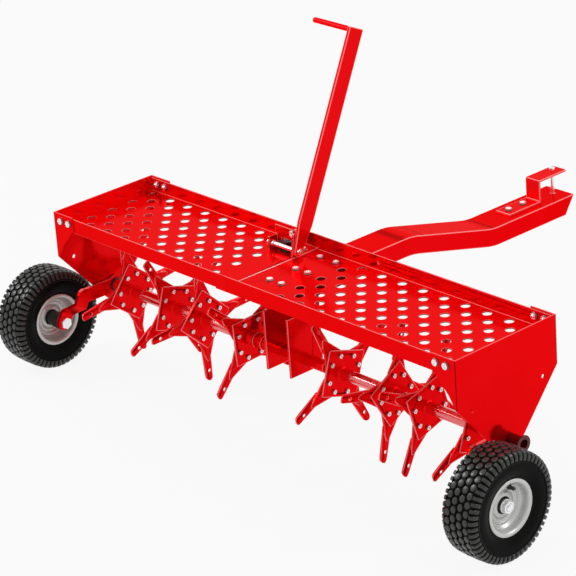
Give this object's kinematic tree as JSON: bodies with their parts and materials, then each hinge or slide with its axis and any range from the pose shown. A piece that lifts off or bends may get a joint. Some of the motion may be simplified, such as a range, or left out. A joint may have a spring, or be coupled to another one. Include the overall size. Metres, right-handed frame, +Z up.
{
  "type": "tow behind plug aerator",
  "caption": "Tow behind lawn aerator: perforated weight tray over spoon-tine rollers, lifted on two pneumatic wheels by a hand lever, with a bent drawbar and pin hitch.",
  "frame": {"origin": "middle of the overall box on the ground under the tyres, wheels down as in the picture", "axes": "+X across the machine to the right seen from behind, +Y the towing direction, +Z up"},
  "size_m": [1.468, 1.06, 0.8129],
  "materials": {
    "red_paint": "gloss powder coat",
    "dark_red_paint": "satin paint",
    "black_paint": "satin black paint",
    "zinc_steel": "bright zinc plate",
    "rim_paint": "silver paint",
    "tyre_rubber": "matt rubber",
    "valve_rubber": "matt rubber",
    "black_nylon": "moulded nylon"
  },
  "bodies": {
    "frame": {"tray_left": "red_paint", "tray_right": "red_paint", "end_plate_left": "red_paint", "end_plate_right": "red_paint", "corner_bolts": "zinc_steel", "tow_bar": "red_paint", "tow_bar_bolts": "zinc_steel", "hitch_strap": "red_paint", "hitch_bolts": "zinc_steel", "centre_hanger": "red_paint", "hanger_sleeve": "red_paint", "hanger_bolts": "zinc_steel", "end_bush_left": "dark_red_paint", "end_bush_right": "dark_red_paint", "lever_bracket": "red_paint", "bracket_bolts": "zinc_steel"},
    "carriage": {"lift_shaft": "red_paint", "lift_lug": "red_paint", "lug_pin": "zinc_steel", "shaft_collars": "red_paint", "thrust_washers": "black_nylon", "wheel_arm_left": "red_paint", "wheel_arm_right": "red_paint", "axle_bolt_left": "zinc_steel", "axle_bolt_right": "zinc_steel", "axle_spacer_left": "black_nylon", "axle_spacer_right": "black_nylon", "axle_nuts": "zinc_steel"},
    "wheel_left": {"tyre_left": "tyre_rubber", "rim_left": "rim_paint", "hub_left": "black_nylon", "valve_left": "valve_rubber"},
    "wheel_right": {"tyre_right": "tyre_rubber", "rim_right": "rim_paint", "hub_right": "black_nylon", "valve_right": "valve_rubber"},
    "roller_left": {"tine_tube_left": "red_paint", "tube_bushes_left": "black_nylon", "star_plates_left": "red_paint", "star_bolts_left": "zinc_steel", "tines_1": "red_paint", "tines_2": "red_paint", "tines_3": "red_paint", "tines_4": "red_paint"},
    "roller_right": {"tine_tube_right": "red_paint", "tube_bushes_right": "black_nylon", "star_plates_right": "red_paint", "star_bolts_right": "zinc_steel", "tines_5": "red_paint", "tines_6": "red_paint", "tines_7": "red_paint", "tines_8": "red_paint"},
    "lever": {"lever_shaft": "zinc_steel", "lever_bar": "red_paint", "lever_grip": "red_paint", "lever_spacer": "zinc_steel", "lever_crank": "black_paint", "crank_pin": "zinc_steel"},
    "link": {"link_bar": "black_paint"},
    "hitch_pin": {"hitch_pin": "zinc_steel"}
  },
  "joints": [
    {"name": "lift", "type": "hinge", "parent": "frame", "child": "carriage", "pos_m": [0, -0.29, 0.1735], "axis": [1, 0, 0], "range_deg": [-28, 0]},
    {"name": "lever_swing", "type": "hinge", "parent": "frame", "child": "lever", "pos_m": [0, -0.2155, 0.3685], "axis": [1, 0, 0], "range_deg": [-28, 0]},
    {"name": "link_swing", "type": "hinge", "parent": "lever", "child": "link", "pos_m": [-0.107, -0.18572, 0.36489], "axis": [1, 0, 0], "range_deg": [0, 28]},
    {"name": "wheel_left_spin", "type": "hinge", "parent": "carriage", "child": "wheel_left", "pos_m": [-0.692, -0.416, 0.114], "axis": [1, 0, 0], "continuous": true},
    {"name": "wheel_right_spin", "type": "hinge", "parent": "carriage", "child": "wheel_right", "pos_m": [0.692, -0.416, 0.114], "axis": [1, 0, 0], "continuous": true},
    {"name": "roller_left_spin", "type": "hinge", "parent": "carriage", "child": "roller_left", "pos_m": [-0.36, -0.29, 0.1735], "axis": [1, 0, 0], "continuous": true},
    {"name": "roller_right_spin", "type": "hinge", "parent": "carriage", "child": "roller_right", "pos_m": [0.36, -0.29, 0.1735], "axis": [1, 0, 0], "continuous": true},
    {"name": "hitch_pin_slide", "type": "slide", "parent": "frame", "child": "hitch_pin", "axis": [0, 0, 1], "range_m": [0, 0.1]}
  ],
  "couplings": [
    {"joint": "lever_swing", "follows": "lift", "ratio": 1},
    {"joint": "link_swing", "follows": "lift", "ratio": -1}
  ]
}
